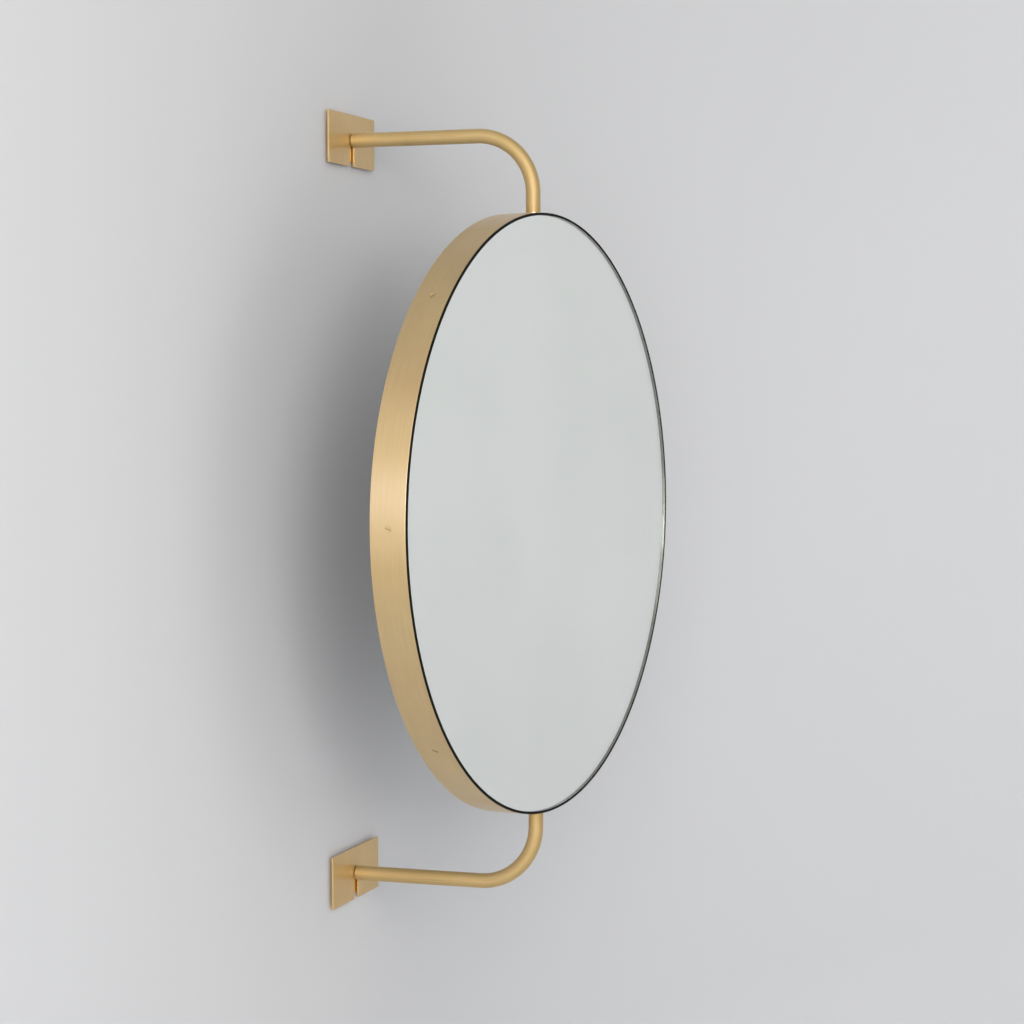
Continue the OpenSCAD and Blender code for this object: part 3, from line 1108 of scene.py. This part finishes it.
def screw_circle(
    shell: Shell, screw: SlottedScrew, head: Placement, angles: Sequence[float],
    tilts: Sequence[float],
) -> None:
    """Adds equal screws round the z axis.

    Args:
        shell: to add them to.
        screw: that each of them is like.
        head: the place of one at angle 0.
        angles: of the screws, in degrees.
        tilts: of their slots, in degrees.
    """
    for angle, tilt in zip(angles, tilts):
        turned = replace(screw, tilt=tilt)
        turned.add(shell, head.then(Placement(axis_turn("Z", angle))))


@dataclass
class BackPanel:
    """The lacquered panel behind the board, with its ring of screws. Sizes are in
    millimetres and angles in degrees."""

    place: Placement
    radius: float = 301.5
    thickness: float = 2.0
    face: float = -15.5
    edge_r: float = 0.5
    segments: int = 360
    rings: tuple[float, ...] = (0, 60, 120, 180, 230, 262, 274, 279, 283, 288, 292, 296)
    screws: int = 8
    circle: float = 285.5
    screw: SlottedScrew = SlottedScrew(3.2, 1.5, 1.5, 12)
    screw_hole: Triple = (3.28, 1.52, 1.58)
    window: Pair = (2, 8)
    tilt_step: float = 40
    body: str = "mirror"

    def build(self) -> None:
        """Builds the panel, and its ring of screws with half a step before the first one."""
        count = range(self.screws)
        angles = [(i + 0.5) * 360 / self.screws for i in count]
        shell = Shell("rear_panel", self.place)
        sheet = DiscSheet(self.face)
        around = np.linspace(0, 2 * math.pi, self.segments + 1)
        rim = self.radius - self.edge_r
        wall = countersunk(*self.screw_hole, self.thickness)
        holes = hole_circle(angles, self.circle, wall, self.window)
        rings = np.array([*self.rings, rim - SUPPORT, rim])
        sheet.add(shell, around, rings, self.thickness, holes)
        sheet.skirt(shell, around, rim, (0, 1), edge_profile(self.thickness, self.edge_r))
        shell.piece(Finish.PANEL, self.body, "back_panel")
        screws = Shell("panel_screw_set", self.place)
        head = Placement(shift=(self.circle, 0, self.face))
        screw_circle(screws, self.screw, head, angles, [self.tilt_step * i for i in count])
        screws.piece(Finish.TURNED, self.body, "back_panel_screws")


@dataclass
class Mirror:
    """The hoop with its screws, glass, seal and back panel. Sizes are in millimetres and
    angles in degrees, and depths are measured forwards from the pivot axis."""

    radius: float = 305
    wall: float = 2
    rear: float = -21
    front: float = 16.5
    edge_r: float = 0.5
    turn: float = 7.7
    centre: Triple = (0, -205, -2)
    segments: int = 720
    seam: float = 22.5  # where the mesh of the hoop begins, clear of every hole
    depth_lines: int = 13
    line_margin: float = 3
    screw: SlottedScrew = SlottedScrew(3.4, 1.6, 1.75, 30)
    screw_angles: tuple[float, ...] = (45, 135, 180, 225, 315, 360)
    screw_tilts: tuple[float, ...] = (-14, -59, 16, 26, -30, 8)
    screw_depth: float = -1.5
    screw_sink: float = 0.01
    screw_hole: Triple = (3.48, 1.77, 1.68)
    screw_window: Pair = (2.5, 8)
    bush_angles: tuple[float, ...] = (90, 270)
    bush_r: float = 6.04
    bush_window: Pair = (2.5, 11)
    glass_r: float = 302.55
    glass_back: float = 12.7
    glass_front: float = 17.7
    glass_arris: float = 0.25
    glass_rings: Triple = (120, 150, 240)  # circles that break up the flat faces
    silver_gap: float = 0.02
    silver_t: float = 0.03
    silver_inset: float = 0.12
    ground_inset: float = 0.04
    ground_t: float = 0.06
    seal_inner: float = 302.6
    seal_leg: float = 302.98
    seal_outer: float = 304.9
    seal_foot: float = 11.22
    seal_lip: float = 16.52
    seal_front: float = 18.0
    seal_edges: tuple[float, ...] = (0.05, 0.05, 0, 0.1, 0.2, 0.15)  # radii round the outline
    body: str = "mirror"

    @property
    def place(self) -> Placement:
        """x to the far side, y up and z forwards, turned about the pivot axis."""
        stand = Placement(axis_turn("X", 90))
        return stand.then(Placement(axis_turn("Z", -self.turn), self.centre))

    def band(self) -> None:
        """The brass hoop, drilled for its screws and for the two bushes."""
        shell = Shell("brass_band", self.place)
        sheet = HoopSheet(self.radius)
        start = math.radians(self.seam)
        angle = np.linspace(start, start + 2 * math.pi, self.segments + 1)
        low, high = self.rear + self.edge_r, self.front - self.edge_r
        inner = np.linspace(low + self.line_margin, high - self.line_margin, self.depth_lines)
        screw = countersunk(*self.screw_hole, self.wall)
        holes = hole_circle(self.screw_angles, self.screw_depth, screw, self.screw_window)
        bush = drilled(self.bush_r, self.wall)
        holes += hole_circle(self.bush_angles, 0.0, bush, self.bush_window)
        sheet.add(shell, angle, grid_lines(low, high, inner), self.wall, holes)
        profile = edge_profile(self.wall, self.edge_r)
        sheet.skirt(shell, angle, low, (0, -1), profile)
        sheet.skirt(shell, angle, high, (0, 1), profile)
        shell.piece(Finish.BAND, self.body, "frame_band")

    def screws(self) -> None:
        """Six slotted screws through the band."""
        shell = Shell("band_screw_set", self.place)
        out = (self.radius - self.screw_sink, 0, self.screw_depth)
        head = Placement(axis_turn("Y", -90), out)
        screw_circle(shell, self.screw, head, self.screw_angles, self.screw_tilts)
        shell.piece(Finish.HEAD, self.body, "band_screws")

    def glass(self) -> None:
        """The clear pane with an arris round its front edge, and in it, close to its back
        and its side, the silver layer and the ground edge."""
        r, back, front, arris = self.glass_r, self.glass_back, self.glass_front, self.glass_arris
        near, middle, far = self.glass_rings
        pane = [
            (0, back), (middle, back), (r, back), (r, front - arris), (r - arris, front),
            (far, front), (near, front), (0, front),
        ]
        low = back + self.silver_gap
        high = low + self.silver_t
        rim = r - self.silver_inset
        silver = [(0, low), (middle, low), (rim, low), (rim, high), (middle, high), (0, high)]
        outer = r - self.ground_inset
        inner = outer - self.ground_t
        foot, head = back + self.ground_t, front - arris - self.silver_gap
        ground = [(inner, foot), (outer, foot), (outer, head), (inner, head), (inner, foot)]
        for name, profile, finish in (
            ("mirror_pane", pane, Finish.PANE),
            ("silver_layer", silver, Finish.SILVER),
            ("ground_edge", ground, Finish.EDGE),
        ):
            shell = Shell(name, self.place)
            shell.turned(np.array(profile, float), self.segments)
            shell.piece(finish, self.body, "mirror_glass")

    def seal(self) -> None:
        """The black seal: a thin leg beside the glass and a lip over the band's edge."""
        shell = Shell("rubber_seal", self.place)
        spots = (
            (self.seal_inner, self.seal_foot), (self.seal_leg, self.seal_foot),
            (self.seal_leg, self.seal_lip), (self.seal_outer, self.seal_lip),
            (self.seal_outer, self.seal_front), (self.seal_inner, self.seal_front),
        )
        profile = rounded([(*spot, radius) for spot, radius in zip(spots, self.seal_edges)])
        shell.turned(profile, self.segments)
        shell.piece(Finish.SEAL, self.body, "edge_seal")

    def build(self) -> None:
        """Builds the mirror and dresses the solids inside it."""
        self.band()
        self.screws()
        self.glass()
        self.seal()
        BackPanel(self.place).build()
        dress(Finish.FOAM, "glass_adhesive")
        dress(Finish.BOARD, "backing_board")
        dress(Finish.TURNED, "top_pivot_block", "bottom_pivot_block")
        dress(Finish.STEEL, "top_block_screws", "bottom_block_screws")
        dress(Finish.BRONZE, "top_bush", "bottom_bush")


# ---------------------------------------------------------------- arms and brackets


@dataclass
class Arm:
    """One bent tube with the washer and the fixings at its pivot end. Sizes are in
    millimetres and angles in degrees."""

    end: End
    radius: float = 7.5
    wall: float = 1.5
    start: float = 7.2
    edge_r: float = 0.4
    height: float = 384
    reach: float = 205
    bend: float = 60
    pivot_height: float = 306.2
    centre_drop: float = 2
    grub_from_end: float = 15
    grub_r: float = 2.02
    grub_window: Pair = (37.5, 5)
    segments: int = 96
    hole_lines: int = 9
    straight_lines: int = 12
    bend_lines: int = 61
    leg_lines: int = 4
    end_margin: float = 2
    decimals: int = 6  # lines that agree so far are one line
    washer_t: float = 0.9
    washer_r: float = 7.3
    washer_bore: float = 4.02
    washer_edges: Pair = (0.1, 0.2)  # radii of the bore's edges and of the rim's
    body: str = "brackets"

    def tube(self) -> None:
        """The tube: straight out from the wall, a quarter bend, then down to the band."""
        sheet = TubeSheet(self.radius, self.start, self.height, self.reach, self.bend)
        stop = self.pivot_height - self.end.value * self.centre_drop
        length = sheet.bend_to + (self.height - self.bend) - stop
        low, high = self.edge_r, length - self.edge_r
        around = np.linspace(-math.pi / 2, 3 * math.pi / 2, self.segments + 1)
        grub, (half_turn, half) = self.grub_from_end, self.grub_window
        inner = np.concatenate(
            [
                np.linspace(grub - half, grub + half, self.hole_lines),
                np.linspace(grub + half, sheet.bend_from, self.straight_lines),
                np.linspace(sheet.bend_from, sheet.bend_to, self.bend_lines),
                np.linspace(sheet.bend_to, high - self.end_margin, self.leg_lines),
            ]
        )
        along = np.unique(np.round(grid_lines(low, high, inner), self.decimals))
        shell = Shell(self.end.word + "_bent_tube", flipped(self.end))
        wall = drilled(self.grub_r, self.wall)
        hole = Hole(0.0, grub, wall, (math.radians(half_turn), half))
        sheet.add(shell, around, along, self.wall, [hole])
        profile = edge_profile(self.wall, self.edge_r)
        sheet.skirt(shell, around, low, (0, -1), profile)
        sheet.skirt(shell, around, high, (0, 1), profile)
        shell.piece(Finish.TUBE, self.body, self.end.word + "_arm")

    def washer(self) -> None:
        """The thin washer between the tube and the band."""
        centre = (0, -self.reach, -self.centre_drop)
        shell = Shell(self.end.word + "_washer_ring", flipped(self.end, centre))
        bore, rim = self.washer_bore, self.washer_r
        top = self.pivot_height
        foot = top - self.washer_t
        near, far = self.washer_edges
        outline = [(bore, foot, near), (rim, foot, far), (rim, top, far), (bore, top, near)]
        shell.turned(rounded(outline), self.segments)
        shell.piece(Finish.TURNED, self.body, self.end.word + "_thrust_washer")

    def build(self) -> None:
        """Builds the tube and the washer, and dresses the fixings."""
        self.tube()
        self.washer()
        for part in ("grub_screw", "pivot_pin", "disc_spring", "lock_nut"):
            dress(Finish.STEEL, f"{self.end.word}_{part}")
        dress(Finish.TURNED, f"{self.end.word}_pivot_insert")


@dataclass
class Bracket:
    """One wall plate and its cover plate, with the spigot that carries the arm. Sizes are
    in millimetres."""

    end: End
    height: float = 384
    cover_size: Pair = (125, 54)
    cover_back: float = 4.2
    cover_t: float = 2
    slot_r: float = 5.5
    arch_lines: int = 49
    plate_size: Pair = (101, 44)
    plate_t: float = 3.5
    plate_grid: Pair = (48, 18)  # how far the even grid lines reach
    grid_step: float = 3
    screw_spacing: float = 80
    screw_hole: Triple = (4.8, 2.6, 2.0)
    tenon_r: float = 4.02
    window: Pair = (9, 9)
    edge_r: float = 0.3
    corner_r: float = 0.5
    body: str = "brackets"

    @property
    def place(self) -> Placement:
        """At the height of its arm."""
        return Placement(shift=(0, 0, self.end.value * self.height))

    def _outline(self) -> tuple[Array, Array]:
        """Draws the cover plate: a rectangle with a slot from its middle to its lower edge.

        The outward direction at a point halves the angle between the sides that meet
        there, and is longer than 1 by as much as keeps both sides at one distance.

        Returns:
            The outline's points, and the outward direction at each.
        """
        half_w, half_h = self.cover_size[0] / 2, self.cover_size[1] / 2
        r, slot = self.corner_r, self.slot_r
        turn = np.linspace(math.pi, 0, self.arch_lines)[1:-1]
        arch = np.column_stack([slot * np.cos(turn), slot * np.sin(turn), 0 * turn])
        outline = rounded(
            [
                (half_w, -half_h, r), (half_w, half_h, r), (-half_w, half_h, r),
                (-half_w, -half_h, r), (-slot, -half_h, r), (-slot, 0, 0), *arch,
                (slot, 0, 0), (slot, -half_h, r),
            ]
        )
        ahead = np.roll(outline[:-1], -1, axis=0) - outline[:-1]
        ahead /= np.linalg.norm(ahead, axis=1)[:, None]
        mean = ahead + np.roll(ahead, 1, axis=0)
        mean /= np.linalg.norm(mean, axis=1)[:, None]
        out = np.stack([mean[:, 1], -mean[:, 0]], 1) / np.sum(mean * ahead, axis=1)[:, None]
        return outline, np.concatenate([out, out[:1]])

    def cover(self) -> None:
        """The cover plate, with the slot that lets it slide up and off the neck."""
        outline, out = self._outline()
        inner = outline - out * self.edge_r
        face = inner - out * SUPPORT
        sheet = PlateSheet(-self.cover_back - self.cover_t)
        shell = Shell(self.end.word + "_cover", self.place)
        flats = [[-SUPPORT, 0.0]], [[-SUPPORT, self.cover_t]]
        profile = np.concatenate([flats[0], edge_profile(self.cover_t, self.edge_r), flats[1]])
        sheet.skirt(shell, inner[:, 0], inner[:, 1], out, profile)
        for depth in (0.0, self.cover_t):
            spot = face[:, 0], face[:, 1], depth
            shell.cap(sheet.point(*spot), sheet.uv(*spot))
        shell.piece(Finish.PLATE, self.end.word + "_cover", self.end.word + "_cover_plate")

    def wall_plate(self) -> None:
        """The wall plate, countersunk for two screws and drilled for the spigot."""
        sheet = PlateSheet(-self.plate_t)
        shell = Shell(self.end.word + "_wall_mount", self.place)
        ends = [size / 2 - self.edge_r for size in self.plate_size]
        a, b = (
            grid_lines(-end, end, np.arange(-reach, reach + self.grid_step, self.grid_step))
            for end, reach in zip(ends, self.plate_grid)
        )
        screw = countersunk(*self.screw_hole, self.plate_t)
        tenon = drilled(self.tenon_r, self.plate_t)
        half = self.screw_spacing / 2
        holes = [Hole(x, 0.0, screw, self.window) for x in (-half, half)]
        holes.append(Hole(0.0, 0.0, tenon, self.window))
        sheet.add(shell, a, b, self.plate_t, holes)
        border = frame_of(a, b)
        out = [np.sign(line) * (np.abs(line) == end) for line, end in zip(border, ends)]
        profile = edge_profile(self.plate_t, self.edge_r)
        sheet.skirt(shell, *border, np.stack(out, 1), profile)
        shell.piece(Finish.MOUNT, self.body, self.end.word + "_wall_plate")

    def build(self) -> None:
        """Builds both plates and dresses the spigot."""
        self.cover()
        self.wall_plate()
        dress(Finish.TURNED, self.end.word + "_wall_spigot")


# ---------------------------------------------------------------- camera, stage and light


@dataclass(frozen=True)
class Viewpoint:
    """The camera: where it stands, where it looks and how long its lens is. Its place is
    in metres, its turns are in degrees, and its lens and sensor are in millimetres."""

    place: Triple = (-2.42107, -0.99520, 0.14036)
    yaw: float = 18.5845
    pitch_down: float = 1.0
    roll: float = -0.261
    lens: float = 87.575
    sensor: float = 36.0
    shift_y: float = -0.09333

    def build(self) -> None:
        """Makes the camera and gives it to the scene.

        The sight line lies yaw degrees from +x towards +y and pitch degrees below the
        horizon. Right and up are square to it, and both turn by the roll.
        """
        yaw, pitch, roll = (math.radians(v) for v in (self.yaw, self.pitch_down, self.roll))
        level = np.array([math.cos(yaw), math.sin(yaw), 0])
        right = np.array([math.sin(yaw), -math.cos(yaw), 0])
        up = np.array([0, 0, 1.0])
        sight = level * math.cos(pitch) - up * math.sin(pitch)
        above = up * math.cos(pitch) + level * math.sin(pitch)
        x = right * math.cos(roll) + above * math.sin(roll)
        y = -right * math.sin(roll) + above * math.cos(roll)
        data = bpy.data.cameras.new("camera")
        data.lens, data.sensor_width, data.shift_y = self.lens, self.sensor, self.shift_y
        camera = show("camera", data)
        turn = Matrix(np.column_stack([x, y, -sight]).tolist()).to_4x4()
        camera.matrix_world = Matrix.Translation(self.place) @ turn
        bpy.context.scene.camera = camera


@dataclass(frozen=True)
class Stage:
    """A pale room corner: one wall behind the mirror that bends round into a side wall,
    and a floor. Sizes are in metres."""

    left: float = -3.4
    side: float = 2.1
    corner_r: float = 2.0
    corner_lines: int = 33
    front: float = -3.6
    floor: float = -1.0
    ceiling: float = 2.1
    cove_r: float = 0.3
    cove_lines: int = 17
    gap: float = 0.0002
    wall_colour: str = "#D6D7D9"
    floor_colour: str = "#DDDEE1"

    def walls(self) -> None:
        """The walls: an upright profile carried along a line that bends at the corner.

        The line is straight, a quarter circle and straight again. The profile leaves
        the floor in a quarter circle and then rises straight up.
        """
        bend = np.linspace(0, math.pi / 2, self.corner_lines)
        sin, cos = np.sin(bend), np.cos(bend)
        corner_x = self.side - self.corner_r + self.corner_r * sin
        corner_y = -self.corner_r + self.corner_r * cos
        line_x = np.concatenate([[self.left], corner_x, [self.side]])[:, None]
        line_y = np.concatenate([[0.0], corner_y, [self.front]])[:, None]
        room_x = np.concatenate([[0.0], -sin, [-1.0]])[:, None]
        room_y = np.concatenate([[-1.0], -cos, [0.0]])[:, None]
        rise = np.linspace(0, math.pi / 2, self.cove_lines)
        out = np.concatenate([self.cove_r * (1 - np.sin(rise)), [0.0]])
        height = np.concatenate([self.floor + self.cove_r * (1 - np.cos(rise)), [self.ceiling]])
        points = np.stack(
            [line_x + room_x * out, line_y + room_y * out + self.gap, height + 0 * line_x], -1
        )
        self._place("room_wall", points, self.wall_colour)

    def ground(self) -> None:
        """The floor: one level grid, just under the foot of the walls."""
        x, y = np.meshgrid([self.left, self.side], [self.front, 0.0], indexing="ij")
        points = np.stack([x, y, np.full(x.shape, self.floor - self.gap)], -1)
        self._place("room_floor", points, self.floor_colour)

    def _place(self, name: str, points: Array, colour: str) -> None:
        """Makes one sheet of the stage, facing the room.

        Args:
            name: of the sheet.
            points: rows x columns x 3.
            colour: of its paint.
        """
        faces = quads(*points.shape[:2]).reshape(-1, 4).tolist()
        mesh = bpy.data.meshes.new(name)
        mesh.from_pydata(points.reshape(-1, 3).tolist(), [], faces)
        mesh.polygons.foreach_set("use_smooth", np.ones(len(mesh.polygons), bool))
        mesh.materials.append(WallPaint(name + "_paint", colour).material())
        show(name, mesh)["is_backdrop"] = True
        LOG.info("%s: %d faces, on the stage", name, len(mesh.polygons))

    def build(self) -> None:
        """Builds the walls and the floor."""
        self.walls()
        self.ground()


@dataclass(frozen=True)
class Lamp:
    """One soft lamp: an upright rectangle that faces the middle of the mirror. Sizes are
    in metres."""

    name: str
    place: Triple
    width: float
    height: float
    watts: float
    colour: str = "#FFFFFF"
    aim: Triple = (0, -0.2, 0)

    def build(self) -> None:
        """Makes the lamp, hidden from the camera itself."""
        data = bpy.data.lights.new(self.name, "AREA")
        data.shape, data.size, data.size_y = "RECTANGLE", self.width, self.height
        data.energy, data.color = self.watts, linear(self.colour)[:3]
        lamp = show(self.name, data)
        towards = np.array(self.aim) - np.array(self.place)
        turn = Vector(towards).to_track_quat("-Z", "Y").to_matrix().to_4x4()
        lamp.matrix_world = Matrix.Translation(self.place) @ turn
        lamp.visible_camera = False


LAMPS = (
    Lamp("far_window", (-7.518, -2.936, 0.0), 4.6, 3.6, 158.0, "#F9FBFF"),
    Lamp("window", (-2.744, -1.784, 0.445), 2.4, 1.1, 32.0),
    Lamp("tall_window", (-2.679, -1.565, 1.094), 1.6, 2.0, 28.0, "#FFFBF4"),
    Lamp("front", (0.7, -3.2, 0.2), 1.6, 1.6, 7.4),
)


@dataclass(frozen=True)
class Glow:
    """A soft half of the sky: strongest along its own direction, and less the more a ray
    turns away from it, as the cosine of that angle."""

    towards: Triple
    strength: float


@dataclass(frozen=True)
class Daylight:
    """Light from the open sides of the room: from overhead and from the left."""

    colour: str = "#FFFDFA"
    glows: tuple[Glow, ...] = (Glow((0.0, 0.0, 1.0), 0.476), Glow((-1.0, 0.0, 0.0), 0.635))

    def build(self) -> None:
        """Makes the world: the sum of its glows."""
        world = bpy.data.worlds.new("daylight")
        world.use_nodes = True
        tree = world.node_tree
        tree.nodes.clear()
        ray = add(tree, "TexCoord").outputs["Generated"]
        total: Any = 0.0
        for glow in self.glows:
            cosine = add(
                tree, "VectorMath", {"operation": "DOT_PRODUCT"}, {0: ray, 1: glow.towards}
            ).outputs["Value"]
            share = add(tree, "Math", {"operation": "MAXIMUM"}, {0: cosine, 1: 0.0}).outputs[0]
            total = add(
                tree, "Math", {"operation": "MULTIPLY_ADD"},
                {0: share, 1: glow.strength, 2: total},
            ).outputs[0]
        light = add(
            tree, "Background", None, {"Color": linear(self.colour), "Strength": total}
        ).outputs[0]
        add(tree, "OutputWorld", None, {"Surface": light})
        bpy.context.scene.world = world


def corners(box: tuple[Any, Any]) -> list[list[float]]:
    """A box's two corners as plain lists."""
    return [[float(v) for v in corner] for corner in box]


def main() -> None:
    """Builds camera, stage, light and every piece, and works out the bounds before and after."""
    cad_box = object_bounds()
    Viewpoint().build()
    bpy.context.scene.view_settings.view_transform = "Standard"
    Stage().build()
    Daylight().build()
    for lamp in LAMPS:
        lamp.build()
    Mirror().build()
    for end in End:
        Arm(end).build()
        Bracket(end).build()
    {"cad": corners(cad_box), "visual": corners(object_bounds())}


if __name__ == "__main__":
    main()
